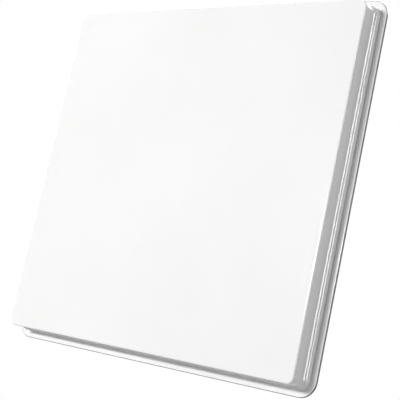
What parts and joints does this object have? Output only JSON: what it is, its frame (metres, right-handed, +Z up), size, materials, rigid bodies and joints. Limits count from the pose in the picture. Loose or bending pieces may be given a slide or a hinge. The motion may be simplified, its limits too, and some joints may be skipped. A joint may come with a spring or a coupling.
{
  "type": "flat satellite antenna",
  "caption": "Square flat-panel satellite antenna: plain white cover on a stepped tray with a flange all round, threaded bracket inserts and an F socket behind.",
  "frame": {"origin": "centre of the bracket bolt pattern on the rear mounting face, which is also the middle of the panel", "axes": "+X to the right seen from the front, +Y back towards the bracket, +Z up"},
  "size_m": [0.55, 0.06, 0.55],
  "materials": {
    "cover_plastic": "satin",
    "tray_plastic": "satin",
    "seal_rubber": "matte",
    "foam": "matte",
    "metallised_plastic": "satin",
    "cast_aluminium": "satin",
    "board": "satin",
    "component_plastic": "matte",
    "lid_aluminium": "satin",
    "brass": "satin",
    "nickel": "polished",
    "insulator_plastic": "satin"
  },
  "bodies": {
    "root": {"radome": "cover_plastic", "rear_tray": "tray_plastic", "spine": "tray_plastic", "rim_seal": "seal_rubber", "foam_spacer": "foam", "horn_plate": "metallised_plastic", "coupling_plate": "metallised_plastic", "upper_feed_plate": "metallised_plastic", "lower_feed_plate": "metallised_plastic", "base_plate": "cast_aluminium", "lnb_board": "board", "board_components": "component_plastic", "lnb_lid": "lid_aluminium", "probe_vertical": "brass", "probe_horizontal": "brass", "socket_body": "nickel", "socket_insulator": "insulator_plastic", "socket_contact": "brass", "bracket_inserts": "brass"}
  },
  "joints": []
}
